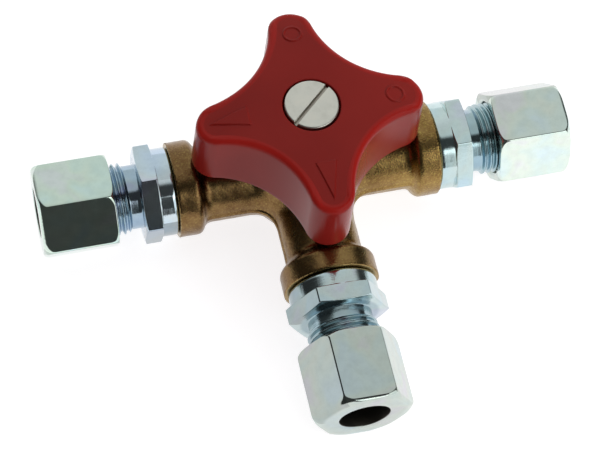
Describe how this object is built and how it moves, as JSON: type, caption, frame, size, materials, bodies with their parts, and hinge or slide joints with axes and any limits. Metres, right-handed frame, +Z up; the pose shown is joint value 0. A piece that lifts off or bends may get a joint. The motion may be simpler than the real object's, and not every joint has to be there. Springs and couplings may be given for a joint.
{
  "type": "three way valve",
  "caption": "Forged brass T-body ball valve with a red four-arm star handle and a compression tube fitting with union nut on each port.",
  "frame": {"origin": "centre of the flat pad under the body, on the stem axis", "axes": "+Z up the stem towards the handle, +X out of the right port, -Y out of the branch port"},
  "size_m": [0.1339, 0.0959, 0.0454],
  "materials": {
    "forged_brass": "forged and tumbled, dull granular skin",
    "turned_brass": "turned, bright",
    "ball_plating": "polished plating over brass",
    "seat_ptfe": "smooth white fluoropolymer",
    "seal_rubber": "moulded nitrile",
    "plated_steel": "bright zinc plate, clear to bluish passivation, machining marks",
    "ring_steel": "zinc plated, hardened",
    "red_plastic": "moulded, satin gloss",
    "screw_steel": "bright zinc plate, faced"
  },
  "bodies": {
    "valve_body": {"valve_body": "forged_brass", "bonnet": "turned_brass", "bonnet_o_ring": "seal_rubber", "stem_thrust_washer": "seat_ptfe", "left_ball_seat": "seat_ptfe", "left_seat_retainer": "turned_brass", "left_stud_fitting": "plated_steel", "left_collar_seal": "seal_rubber", "right_ball_seat": "seat_ptfe", "right_seat_retainer": "turned_brass", "right_stud_fitting": "plated_steel", "right_collar_seal": "seal_rubber", "branch_ball_seat": "seat_ptfe", "branch_seat_retainer": "turned_brass", "branch_stud_fitting": "plated_steel", "branch_collar_seal": "seal_rubber"},
    "handle_and_ball": {"handle": "red_plastic", "handle_screw": "screw_steel", "handle_lock_washer": "screw_steel", "stem": "turned_brass", "flow_ball": "ball_plating", "stem_o_ring_lower": "seal_rubber", "stem_o_ring_upper": "seal_rubber"},
    "left_ring": {"left_cutting_ring": "ring_steel"},
    "left_nut": {"left_union_nut": "plated_steel"},
    "right_ring": {"right_cutting_ring": "ring_steel"},
    "right_nut": {"right_union_nut": "plated_steel"},
    "branch_ring": {"branch_cutting_ring": "ring_steel"},
    "branch_nut": {"branch_union_nut": "plated_steel"}
  },
  "joints": [
    {"name": "handle_turn", "type": "hinge", "parent": "valve_body", "child": "handle_and_ball", "pos_m": [0, 0, 0.0128], "axis": [0, 0, 1], "continuous": true},
    {"name": "left_ring_travel", "type": "slide", "parent": "valve_body", "child": "left_ring", "axis": [-1, 0, 0], "range_m": [0, 0.0075]},
    {"name": "left_nut_turn", "type": "hinge", "parent": "left_ring", "child": "left_nut", "pos_m": [-0.056, 0, 0.0128], "axis": [-1, 0, 0], "range_deg": [0, 1800]},
    {"name": "right_ring_travel", "type": "slide", "parent": "valve_body", "child": "right_ring", "axis": [1, 0, 0], "range_m": [-0.0005, 0.007]},
    {"name": "right_nut_turn", "type": "hinge", "parent": "right_ring", "child": "right_nut", "pos_m": [0.056, 0, 0.0128], "axis": [1, 0, 0], "range_deg": [-120, 1680]},
    {"name": "branch_ring_travel", "type": "slide", "parent": "valve_body", "child": "branch_ring", "axis": [0, -1, 0], "range_m": [-0.0009, 0.0066]},
    {"name": "branch_nut_turn", "type": "hinge", "parent": "branch_ring", "child": "branch_nut", "pos_m": [0, -0.056, 0.0128], "axis": [0, -1, 0], "range_deg": [-216, 1584]}
  ],
  "couplings": [
    {"joint": "left_ring_travel", "follows": "left_nut_turn", "m_per_rad": 0.00023873},
    {"joint": "right_ring_travel", "follows": "right_nut_turn", "m_per_rad": 0.00023873},
    {"joint": "branch_ring_travel", "follows": "branch_nut_turn", "m_per_rad": 0.00023873}
  ]
}
